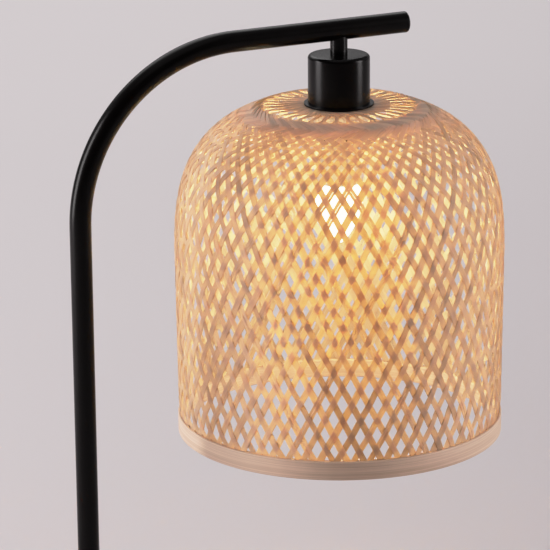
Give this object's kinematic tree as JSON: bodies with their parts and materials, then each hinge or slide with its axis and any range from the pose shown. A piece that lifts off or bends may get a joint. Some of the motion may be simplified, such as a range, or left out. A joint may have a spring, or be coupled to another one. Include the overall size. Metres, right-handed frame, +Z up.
{
  "type": "arched table lamp",
  "caption": "Arched black tube table lamp on a weighted disc base, with a woven bamboo dome shade and a screw-in bulb.",
  "frame": {"origin": "centre of the base's underside, on the surface that the lamp stands on", "axes": "+Z up, +X along the arm from the pole towards the shade, +Y to the left of the arm"},
  "size_m": [0.3788, 0.2494, 0.5],
  "materials": {
    "black_metal": "satin black powder coat",
    "zinc_steel": "zinc plated",
    "cast_iron": "rough cast",
    "foot_foam": "dense black foam",
    "black_plastic": "moulded, matt",
    "ceramic": "glazed white",
    "brass": "bright",
    "cord_jacket": "matt black",
    "live_insulation": "brown",
    "neutral_insulation": "blue",
    "bamboo": "split bamboo, unvarnished",
    "bulb_plastic": "white",
    "white_plastic": "white",
    "opal_diffuser": "opal, lit from inside",
    "nickel": "plated, bright",
    "circuit_board": "white solder mask"
  },
  "bodies": {
    "stand": {"foot_pad": "foot_foam", "base_plate": "zinc_steel", "base_weight": "cast_iron", "base_cover": "black_metal", "base_screws": "zinc_steel", "pole_foot_bush": "zinc_steel", "fixing_nipple": "zinc_steel", "lock_washer": "zinc_steel", "fixing_nut": "zinc_steel", "cord_gland": "black_plastic", "gland_nut": "black_plastic", "stand_tube": "black_metal", "arm_end_cap": "black_plastic", "neck_tube": "black_metal", "socket_cup": "black_metal", "cup_nipple": "zinc_steel", "cup_nut": "zinc_steel", "lampholder_cap": "black_plastic", "lampholder_skirt": "black_plastic", "lampholder_core": "ceramic", "screw_shell": "brass", "centre_contact": "brass", "terminal_screws": "brass", "inner_cord": "cord_jacket", "live_wire": "live_insulation", "neutral_wire": "neutral_insulation"},
    "shade": {"shade_weave": "bamboo", "hoop_outer": "bamboo", "hoop_inner": "bamboo", "fitter_flange": "black_metal", "fitter_ring": "black_metal"},
    "retaining_ring": {"shade_retaining_ring": "white_plastic"},
    "bulb_travel": {"bulb_contact": "nickel", "bulb_insulator": "black_plastic"},
    "bulb": {"bulb_screw_base": "nickel", "bulb_housing": "bulb_plastic", "led_board": "circuit_board", "led_driver": "circuit_board", "bulb_diffuser": "opal_diffuser"}
  },
  "joints": [
    {"name": "shade_drop", "type": "slide", "parent": "stand", "child": "shade", "axis": [0, 0, -1], "range_m": [0, 0.0114]},
    {"name": "ring_turn", "type": "hinge", "parent": "shade", "child": "retaining_ring", "pos_m": [0.1566, 0, 0.43], "axis": [0, 0, -1], "range_deg": [0, 1368]},
    {"name": "bulb_travel", "type": "slide", "parent": "stand", "child": "bulb_travel", "axis": [0, 0, -1], "range_m": [0, 0.02]},
    {"name": "bulb_turn", "type": "hinge", "parent": "bulb_travel", "child": "bulb", "pos_m": [0.1566, 0, 0.36], "axis": [0, 0, -1], "range_deg": [0, 1984.5]}
  ],
  "couplings": [
    {"joint": "ring_turn", "follows": "shade_drop", "rad_per_m": 2094.4},
    {"joint": "bulb_turn", "follows": "bulb_travel", "rad_per_m": 1731.4}
  ]
}
